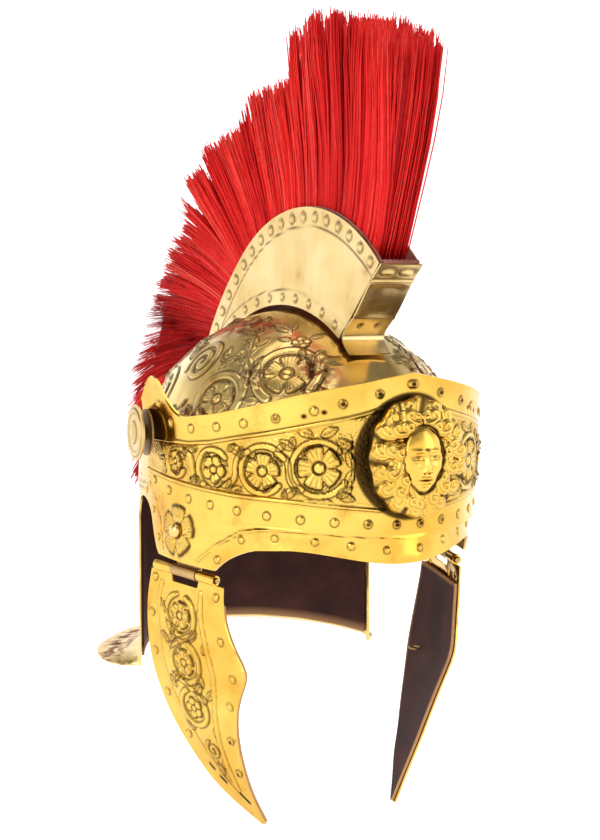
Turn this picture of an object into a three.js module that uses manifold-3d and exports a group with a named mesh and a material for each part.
// Roman legionary helmet: raised brass skull with peak, ear lugs and neck guard, a brow band with a
// head boss, a crest box with a horsehair plume, and two hinged cheek guards lined with leather.
// Millimetres, +Z up, the front of the helmet towards -Y, the wearer's right side towards -X.
// The origin is on the head's axis, level with the lower edge of the peak.
import * as THREE from "three";
import { mergeVertices } from "three/addons/utils/BufferGeometryUtils.js";
import Module from "manifold-3d";

const wasm = await Module();
wasm.setup();

// ---- driving dimensions ----
const sheet = 1.2; // brass thickness
const leather = 1.8; // lining thickness
const gap = 0.3; // clearance between pieces that touch
const skullHalfWidth = 100;
const skullHalfLength = 122;
const domeBase = 40; // where the straight wall meets the dome
const domeRise = 110; // from there to the crown
const peakTop = 18; // the peak flares out below this height
const peakFlare = 2;
const neckBottom = -69;
const neckDroop = 10; // how much lower the neck guard's ends are than its middle
const flangeWidth = 34; // out-turned lip of the neck guard
const flangeDrop = 5;
const neckEdge = 56; // how far back the neck guard starts
const earArchTop = 31;

const bandHalfWidth = 104.3;
const bandHalfLength = 130;
const bandLean = 2.2; // how far its edges lie in or out from the middle
const bandEnd = 96; // degrees from the front to each end

const maskHalfWidth = 32.5;
const maskHalfHeight = 35;
const maskDepth = 19;
const maskCentreZ = 64;

const crestCentreY = -28; // centre of the round part of the crest box's arch
const crestCentreZ = 86;
const crestRadius = 127;
const crestFront = 134.5; // degrees up from straight back, where the arch starts
const crestRoundEnd = 50; // degrees, where the arch starts to run down the back of the bowl
const crestInside = 13; // half the width between the side plates
const crestCoreScale = 0.855; // the core's outline against the side plates'
const crestClearance = 3; // between the crest box and the bowl

const hingeX = 95; // hinge axis, at the middle of the pin
const hingeY = -25;
const hingeZ = -11;
const hingeYaw = -15; // degrees, the axis follows the plan of the skull
const hingeTilt = 5; // degrees, the axis drops towards the front
const pinRadius = 1.5;
const knuckleRadius = 3.4;
const pinLength = 58;
const strapLength = 22;

const rad = THREE.MathUtils.degToRad;

// ---- materials ----
const brass = (color, roughness) => new THREE.MeshStandardMaterial({ color, roughness, metalness: 1 });
const skullBrass = brass(0xd9b45a, 0.22);
const bandBrass = brass(0xdcae42, 0.2);
const crestBrass = brass(0xe0c684, 0.24);
const wornBrass = brass(0xc08a5a, 0.4);
const lining = new THREE.MeshStandardMaterial({ color: 0x3c2825, roughness: 0.6, metalness: 0 });
const coreLeather = new THREE.MeshStandardMaterial({ color: 0x5b2d24, roughness: 0.8, metalness: 0 });
const horsehair = new THREE.MeshStandardMaterial({ color: 0xc81e1e, roughness: 0.5, metalness: 0 });

const helmet = new THREE.Group();

function addPiece(name, geometry, material, parent = helmet) {
  const mesh = new THREE.Mesh(geometry, material);
  mesh.name = name;
  parent.add(mesh);
  return mesh;
}

// ---- solids ----

// Six times the volume that a triangle spans with the origin.
function spannedVolume(positions, a, b, c) {
  const [p, q, r] = [a, b, c].map((index) => new THREE.Vector3().fromArray(positions, 3 * index));
  return p.dot(q.cross(r));
}

// Shares the vertices, drops triangles that shrink to a line, and turns the faces outwards.
function closeUp(source) {
  const bare = source.clone();
  bare.deleteAttribute("normal");
  bare.deleteAttribute("uv");
  const merged = mergeVertices(bare, 1e-4);
  const positions = merged.attributes.position.array;
  const corners = merged.index ? merged.index.array : positions.map((value, index) => index);
  const kept = [];
  let volume = 0;
  for (let i = 0; i < corners.length; i += 3) {
    const [a, b, c] = [corners[i], corners[i + 1], corners[i + 2]];
    if (a === b || b === c || c === a) continue;
    volume += spannedVolume(positions, a, b, c);
    kept.push([a, b, c]);
  }
  merged.setIndex(kept.flatMap(([a, b, c]) => (volume > 0 ? [a, b, c] : [a, c, b])));
  return merged;
}

// A closed plate between two surfaces, each a function of u and v from 0 to 1.
// A wrapped plate meets itself where u comes round again.
function plate(outer, inner, columns, rows, wrapped = false) {
  const positions = [];
  for (const surface of [outer, inner]) {
    for (let row = 0; row <= rows; row += 1) {
      for (let column = 0; column <= columns; column += 1) {
        const u = wrapped ? (column % columns) / columns : column / columns;
        positions.push(...surface(u, row / rows));
      }
    }
  }
  const layer = (columns + 1) * (rows + 1);
  const at = (side, column, row) => side * layer + row * (columns + 1) + column;
  const faces = [];
  const quad = (a, b, c, d) => faces.push(a, b, c, a, c, d);
  for (let row = 0; row < rows; row += 1) {
    for (let column = 0; column < columns; column += 1) {
      quad(at(0, column, row), at(0, column + 1, row), at(0, column + 1, row + 1), at(0, column, row + 1));
      quad(at(1, column, row), at(1, column, row + 1), at(1, column + 1, row + 1), at(1, column + 1, row));
    }
  }
  for (let column = 0; column < columns; column += 1) {
    quad(at(0, column, 0), at(1, column, 0), at(1, column + 1, 0), at(0, column + 1, 0));
    quad(at(0, column, rows), at(0, column + 1, rows), at(1, column + 1, rows), at(1, column, rows));
  }
  for (let row = 0; row < rows && !wrapped; row += 1) {
    quad(at(0, 0, row), at(0, 0, row + 1), at(1, 0, row + 1), at(1, 0, row));
    quad(at(0, columns, row), at(1, columns, row), at(1, columns, row + 1), at(0, columns, row + 1));
  }
  const geometry = new THREE.BufferGeometry();
  geometry.setAttribute("position", new THREE.Float32BufferAttribute(positions, 3));
  geometry.setIndex(faces);
  return closeUp(geometry);
}

function toSolid(geometry) {
  const closed = closeUp(geometry);
  return new wasm.Manifold(new wasm.Mesh({
    numProp: 3,
    vertProperties: new Float32Array(closed.attributes.position.array),
    triVerts: new Uint32Array(closed.index.array),
  }));
}

function toGeometry(solid) {
  const mesh = solid.getMesh();
  const geometry = new THREE.BufferGeometry();
  geometry.setAttribute("position", new THREE.BufferAttribute(mesh.vertProperties, 3));
  geometry.setIndex(new THREE.BufferAttribute(mesh.triVerts, 1));
  return geometry;
}

// A shape drawn in the side view (y, z), extruded across the helmet from x = from to x = to.
function sideExtrude(shape, from, to, curveSegments = 12) {
  const geometry = new THREE.ExtrudeGeometry(shape, { depth: to - from, bevelEnabled: false, curveSegments });
  geometry.rotateX(Math.PI / 2);
  geometry.rotateZ(Math.PI / 2);
  geometry.translate(from, 0, 0);
  return geometry;
}

function turned(points, segments) {
  return new THREE.LatheGeometry(points.map(([r, z]) => new THREE.Vector2(r, z)), segments);
}

const smooth = (value, start, end) => THREE.MathUtils.smoothstep(value, start, end);

// ---- skull ----

// Height on the bowl's outside, raised by a clearance, over a point of the plan.
function bowlHeight(x, y, clearance = 0) {
  const a = skullHalfWidth + clearance;
  const b = skullHalfLength + clearance;
  return domeBase + (domeRise + clearance) * Math.sqrt(Math.max(0, 1 - (x / a) ** 2 - (y / b) ** 2));
}

// Height of the neck guard's lower bend at a distance back.
function neckBend(y) {
  const forward = (skullHalfLength - y) / (skullHalfLength - neckEdge);
  return neckBottom - neckDroop * THREE.MathUtils.clamp(forward, 0, 1);
}

const domeShare = 0.5; // of the rows
const wallShare = 0.375;

// The skull's surface at a depth inside its outer face: u goes round from the front, v from crown to rim.
function skullPoint(u, v, depth) {
  const angle = 2 * Math.PI * u;
  const [across, back] = [Math.sin(angle), -Math.cos(angle)];
  const a = skullHalfWidth - depth;
  const b = skullHalfLength - depth;
  if (v <= domeShare) {
    const lift = (Math.PI / 2) * (1 - v / domeShare);
    const spread = Math.cos(lift);
    return [a * across * spread, b * back * spread, domeBase + (domeRise - depth) * Math.sin(lift)];
  }
  if (v <= domeShare + wallShare + 1e-9) {
    const z = THREE.MathUtils.lerp(domeBase, neckBend(b * back), (v - domeShare) / wallShare);
    const flare = peakFlare * smooth(-back, -0.2, 0.5) * (1 - smooth(z, 0, peakTop));
    return [(a + flare) * across, (b + flare) * back, z];
  }
  const out = (v - domeShare - wallShare) / (1 - domeShare - wallShare);
  const reach = flangeWidth * out * smooth(b * back, neckEdge - 8, neckEdge + 22);
  const down = flangeDrop * Math.sin((Math.PI / 2) * out);
  return [(a + reach) * across, (b + reach) * back, neckBend(b * back) - down - depth * 0.8 * out];
}

// Everything below the helmet's lower edge, seen from the side, in front of the neck guard.
function faceOpening() {
  const far = 200;
  const shape = new THREE.Shape();
  shape.moveTo(-far, 0);
  shape.lineTo(-124, 0);
  shape.quadraticCurveTo(-112, 8, -97, 8.5);
  shape.lineTo(-80, 7.5);
  shape.quadraticCurveTo(-66, 4, -56, -6.5);
  shape.lineTo(2, -2.5);
  shape.quadraticCurveTo(8, 1, 14, 20);
  shape.quadraticCurveTo(19, earArchTop, 33, earArchTop);
  shape.quadraticCurveTo(neckEdge - 4, earArchTop - 3, neckEdge, 0);
  shape.lineTo(neckEdge, -far);
  shape.lineTo(-far, -far);
  shape.closePath();
  return sideExtrude(shape, -far, far, 8);
}

const skullBody = plate((u, v) => skullPoint(u, v, 0), (u, v) => skullPoint(u, v, sheet), 48, 16, true);
addPiece("skull", toGeometry(toSolid(skullBody).subtract(toSolid(faceOpening()))), skullBrass);

// ---- leather inside the neck guard ----
const liningTop = 30;
const liningAngle = Math.acos(-(neckEdge + 3) / skullHalfLength); // from the front to its edge
function neckLiningPoint(u, v, depth) {
  const angle = THREE.MathUtils.lerp(liningAngle, 2 * Math.PI - liningAngle, u);
  const a = skullHalfWidth - sheet - gap - depth;
  const b = skullHalfLength - sheet - gap - depth;
  const y = -b * Math.cos(angle);
  return [a * Math.sin(angle), y, THREE.MathUtils.lerp(liningTop, neckBend(y) + 0.8, v)];
}
addPiece(
  "neck_lining",
  plate((u, v) => neckLiningPoint(u, v, 0), (u, v) => neckLiningPoint(u, v, leather), 20, 4),
  lining,
);

// ---- brow band ----

// Heights of the band's edges by the angle from the front, in degrees.
const curveThrough = (pairs) => new THREE.SplineCurve(pairs.map(([angle, z]) => new THREE.Vector2(angle, z)));
const bandUpper = curveThrough([
  [0, 113], [16, 107.5], [34, 101], [52, 92.5], [66, 87], [76, 87], [82, 97], [86, 106], [90, 108], [bandEnd, 94],
]);
const bandLower = curveThrough([[0, 15.5], [24, 19], [45, 21.5], [60, 23], [72, 28.5], [84, 36], [bandEnd, 45]]);

function bandPoint(u, v, depth) {
  const side = Math.abs(2 * u - 1);
  const low = bandLower.getPointAt(side);
  const high = bandUpper.getPointAt(side);
  const angle = rad(THREE.MathUtils.lerp(low.x, high.x, v)) * Math.sign(u - 0.5 || 1);
  const lean = bandLean * (2 * v - 1) - depth;
  const a = bandHalfWidth + lean;
  const b = bandHalfLength + lean;
  return [a * Math.sin(angle), -b * Math.cos(angle), THREE.MathUtils.lerp(low.y, high.y, v)];
}
addPiece(
  "brow_band",
  plate((u, v) => bandPoint(u, v, 0), (u, v) => bandPoint(u, v, sheet), 44, 4),
  bandBrass,
);

// ---- head boss: a shallow oval with a rounded face and a band of hair round it ----
const maskBack = -(bandHalfLength + bandLean + gap);
function maskPoint(u, v, front) {
  const angle = 2 * Math.PI * u;
  const scallop = 1 + 0.02 * Math.cos(12 * angle);
  const x = maskHalfWidth * v * scallop * Math.cos(angle);
  const z = maskHalfHeight * v * scallop * Math.sin(angle);
  const dome = 0.35 + 0.65 * Math.sqrt(1 - (0.97 * v) ** 2);
  return [x, maskBack - (front ? maskDepth * dome : 0), maskCentreZ + z];
}
addPiece(
  "mask",
  plate((u, v) => maskPoint(u, v, true), (u, v) => maskPoint(u, v, false), 24, 5, true),
  bandBrass,
);

// ---- crest box ----
const crestCentre = new THREE.Vector2(crestCentreY, crestCentreZ);

// A point of the side view at an angle and a radius from the crest box's centre.
function crestAt(angle, radius) {
  const along = new THREE.Vector2(Math.cos(rad(angle)), Math.sin(rad(angle)));
  return along.multiplyScalar(radius).add(crestCentre);
}

// The arch of the side plates from the front: a round part, then a curve down the back of the bowl.
const crestArch = new THREE.Path();
crestArch.absarc(crestCentreY, crestCentreZ, crestRadius, rad(crestFront), rad(crestRoundEnd), true);
crestArch.quadraticCurveTo(113.5, 133, skullHalfLength - 3, 77);

// The arch at a scale, above a curve that follows the bowl with a clearance.
function crestShape(scale, x, clearance) {
  const above = crestArch.getSpacedPoints(40)
    .map((point) => crestCentre.clone().lerp(point, scale))
    .filter((point) => point.y > bowlHeight(x, point.x, clearance));
  const frontY = crestAt(crestFront, 62).x;
  const backY = above.at(-1).x;
  const steps = 14;
  const below = [];
  for (let i = 0; i < steps; i += 1) {
    const y = THREE.MathUtils.lerp(backY, frontY, i / steps);
    below.push(new THREE.Vector2(y, bowlHeight(x, y, clearance)));
  }
  below.push(new THREE.Vector2(frontY, bowlHeight(x, frontY, clearance)));
  return new THREE.Shape([...above, ...below]);
}

const crestOutside = crestInside + sheet;
const sidePlate = crestShape(1, crestInside, crestClearance);
addPiece("crest_side_left", sideExtrude(sidePlate, crestInside, crestOutside), crestBrass);
addPiece("crest_side_right", sideExtrude(sidePlate, -crestOutside, -crestInside), crestBrass);

const coreClearance = crestClearance + 0.5;
const coreHalfWidth = crestInside - gap;
const coreShape = crestShape(crestCoreScale, 0, coreClearance);
addPiece("crest_core", sideExtrude(coreShape, -coreHalfWidth, coreHalfWidth), coreLeather);

// Front plate: its section runs down the front of the box and turns out in a foot over the bowl.
function frontPlateShape() {
  const along = crestAt(crestFront, 1).sub(crestCentre);
  const forward = new THREE.Vector2(-along.y, along.x);
  const section = (radius, out) => (
    crestCentre.clone().addScaledVector(along, radius).addScaledVector(forward, out)
  );
  const centreLine = new THREE.SplineCurve([
    section(crestRadius + 1, 2.6),
    section(crestRadius - 9, 1.9),
    section(crestRadius - 18, 2.1),
    section(crestRadius - 38, 3.1),
    section(72, 1.5),
    section(67, 3),
    section(66, 8),
    section(66.5, 15),
  ]);
  const steps = 22;
  const rim = [];
  for (const side of [1, -1]) {
    for (let i = 0; i <= steps; i += 1) {
      const t = side > 0 ? i / steps : 1 - i / steps;
      const tangent = centreLine.getTangentAt(t);
      const normal = new THREE.Vector2(-tangent.y, tangent.x);
      rim.push(centreLine.getPointAt(t).addScaledVector(normal, (side * sheet) / 2));
    }
  }
  return new THREE.Shape(rim);
}
const frontPlateHalfWidth = crestOutside + 0.4;
addPiece(
  "crest_front_plate",
  sideExtrude(frontPlateShape(), -frontPlateHalfWidth, frontPlateHalfWidth),
  crestBrass,
);

// A plain post under the box, out of sight.
const postRadius = 5;
const postY = -20;
const postTop = bowlHeight(0, postY, crestClearance - 0.5) - gap;
const postBottom = bowlHeight(0, postY) + gap + 0.2;
const post = new THREE.CylinderGeometry(postRadius, postRadius, postTop - postBottom, 16);
post.rotateX(Math.PI / 2);
addPiece("crest_post", post, wornBrass).position.set(0, postY, (postTop + postBottom) / 2);

// ---- plume ----
const plumeTips = new THREE.SplineCurve([
  [-139, 305], [-102, 322], [-52, 331], [-24, 318], [8, 295], [44, 283], [94, 262],
  [128, 240], [150, 202], [178, 168], [205, 122], [220, 78], [221, 42], [211, 14],
].map(([y, z]) => new THREE.Vector2(y, z)));
const plumeRoots = crestShape(crestCoreScale + 0.01, 0, coreClearance + 1.5).getPoints();
const onBowl = (point) => point.y < bowlHeight(0, point.x, coreClearance + 2);
const plumeRootEnd = plumeRoots.findIndex((point, i) => i > 0 && onBowl(point));
const plumeRootLine = new THREE.SplineCurve(plumeRoots.slice(0, plumeRootEnd));

// The outer form of the hair: narrow between the side plates, wider towards its tips.
function plumePoint(u, v, side) {
  const point = plumeRootLine.getPointAt(u).lerp(plumeTips.getPointAt(u), v);
  point.y += Math.sin(Math.PI * v) * 6 * smooth(u, 0.45, 1);
  const outside = point.distanceTo(crestCentre) - crestRadius;
  const halfWidth = crestInside - 0.8 + 10 * smooth(outside, 4, 100);
  const taper = 1 - 0.15 * smooth(v, 0.85, 1);
  return [side * halfWidth * taper, point.x, point.y];
}
addPiece(
  "plume",
  plate((u, v) => plumePoint(u, v, 1), (u, v) => plumePoint(u, v, -1), 26, 6),
  horsehair,
);

// ---- both sides ----

// The left side is modelled, and the right one is its mirror image.
function makeSide(side, mirror) {
  const half = new THREE.Group();
  half.scale.x = mirror;
  helmet.add(half);

  // Ringed disc on a short neck, over the end of the brow band.
  const bossProfile = [
    [0, 0], [14.5, 0], [14.5, 1.2], [5, 1.6], [4.4, 5], [16.4, 6.2], [17.4, 7.2],
    [17.4, 8.2], [14, 9], [12.6, 8.2], [8, 8.4], [6, 9.6], [0, 10.6],
  ];
  const boss = addPiece(`side_boss_${side}`, turned(bossProfile, 20), crestBrass, half);
  boss.geometry.rotateX(Math.PI / 2);
  boss.geometry.rotateY(Math.PI / 2);
  boss.position.set(106.9, 4, 73.5);
  boss.rotation.z = rad(8);

  // Domed rivet in the middle of the ear lug's rosette.
  const studProfile = [[0, 0], [4.6, 0], [4.4, 1.6], [3, 3.2], [0, 4]];
  const stud = addPiece(`lug_stud_${side}`, turned(studProfile, 16), skullBrass, half);
  stud.geometry.rotateX(Math.PI / 2);
  stud.geometry.rotateY(Math.PI / 2);
  const studY = -20;
  const studLift = 2.3; // clear of the curved lug
  stud.position.set(skullHalfWidth * Math.sqrt(1 - (studY / skullHalfLength) ** 2) + studLift, studY, 14);
  stud.rotation.z = rad(-8);

  // Everything on the hinge is placed from the middle of its pin: x outwards, y back along the pin.
  const hinge = new THREE.Group();
  hinge.position.set(hingeX, hingeY, hingeZ);
  hinge.rotation.set(rad(hingeTilt), 0, rad(hingeYaw), "ZXY");
  half.add(hinge);
  addPiece(`hinge_pin_${side}`, new THREE.CylinderGeometry(pinRadius, pinRadius, pinLength, 16), wornBrass, hinge);
  addPiece(`hinge_strap_${side}`, hingeStrap(), wornBrass, hinge);
  addPiece(`cheek_guard_${side}`, cheekGuard(), bandBrass, hinge);
  addPiece(`cheek_lining_${side}`, cheekLining(), lining, hinge);

  const loopRadius = 3.6;
  const loopWire = 0.7;
  const loop = new THREE.TorusGeometry(loopRadius, loopWire, 6, 12);
  const loopDrop = 68;
  const loopBack = 8;
  const loopX = cheekOffset(loopBack, loopDrop) - sheet - leather - 2 * gap - loopRadius - loopWire - 0.6;
  addPiece(`cheek_tie_${side}`, loop, wornBrass, hinge).position.set(loopX, loopBack, -loopDrop);
}

// A ring round the pin with a tab that runs up inside the lug.
function hingeStrap() {
  const boreRadius = pinRadius + gap;
  const ring = new THREE.CylinderGeometry(knuckleRadius, knuckleRadius, strapLength, 20);
  const bore = new THREE.CylinderGeometry(boreRadius, boreRadius, strapLength + 2, 16);
  const tabHeight = 14;
  const tab = new THREE.BoxGeometry(1, strapLength, tabHeight);
  tab.translate(-2.6, 0, tabHeight / 2);
  return toGeometry(toSolid(ring).add(toSolid(tab)).subtract(toSolid(bore)));
}

// ---- cheek guards ----

// Outlines in the hinge's frame, as distance back along the pin and drop below it.
const outline = (pairs) => new THREE.SplineCurve(pairs.map(([back, drop]) => new THREE.Vector2(back, drop)));
const guardFrontUpper = outline([[-33, 3], [-35, 20], [-38, 38], [-42, 50], [-48, 61]]);
const guardFrontLower = outline([
  [-48, 61], [-41.5, 74], [-37, 89], [-35, 104], [-35, 122], [-37, 141], [-41, 157.5],
]);
const guardBack = outline([
  [31, 3], [34, 22], [35.5, 45], [33.5, 66], [27, 86], [18, 104], [6, 121], [-9, 138], [-39, 157.5],
]);
const guardTop = 3; // drop of the upper edge
const guardDrop = 157;
const guardPoint = 61; // drop of the forward point
const notchWidth = strapLength + 1; // between the knuckles, for the strap
const notchDrop = 13;
const knuckleLength = 16;
const liningTopDrop = 14;

// How far the guard's outer face lies outside the plane through the pin.
function cheekOffset(back, drop) {
  const bow = 2.6 * (1 - (back / 40) ** 2) * smooth(drop, 2, 26);
  return 0.4 + bow - 0.03 * drop - 0.0015 * drop * drop;
}

// The outline's distance back at a given drop, found along a curve that only goes down.
function backAt(curve, drop) {
  let [low, high] = [0, 1];
  for (let i = 0; i < 24; i += 1) {
    const middle = (low + high) / 2;
    if (curve.getPoint(middle).y < drop) low = middle;
    else high = middle;
  }
  return curve.getPoint(low).x;
}

function guardPlate(depth, thickness, inset, top) {
  const rows = 17;
  const surface = (extra) => (u, v) => {
    const drop = THREE.MathUtils.lerp(top, guardDrop - inset, Math.min(1, Math.round(v * rows) / rows));
    const frontCurve = drop < guardPoint ? guardFrontUpper : guardFrontLower;
    const front = backAt(frontCurve, drop) + inset;
    const back = Math.max(front + 0.5, backAt(guardBack, drop) - inset);
    const along = THREE.MathUtils.lerp(front, back, u);
    return [cheekOffset(along, drop) - depth - extra, along, -drop];
  };
  return plate(surface(0), surface(thickness), 6, rows);
}

// The guard's brass: a bowed plate with two rolled knuckles and a notch between them for the strap.
function cheekGuard() {
  const notch = new THREE.BoxGeometry(20, notchWidth, 2 * notchDrop);
  let body = toSolid(guardPlate(0, sheet, 0, guardTop)).subtract(toSolid(notch));
  const bore = new THREE.CylinderGeometry(pinRadius + gap, pinRadius + gap, pinLength + 20, 16);
  for (const end of [-1, 1]) {
    const knuckle = new THREE.CylinderGeometry(knuckleRadius, knuckleRadius, knuckleLength, 20);
    knuckle.translate(0, (end * (notchWidth + knuckleLength)) / 2, 0);
    body = body.add(toSolid(knuckle));
  }
  return toGeometry(body.subtract(toSolid(bore)));
}

function cheekLining() {
  return guardPlate(sheet + gap, leather, 0.6, liningTopDrop);
}

makeSide("left", 1);
makeSide("right", -1);

export default helmet;
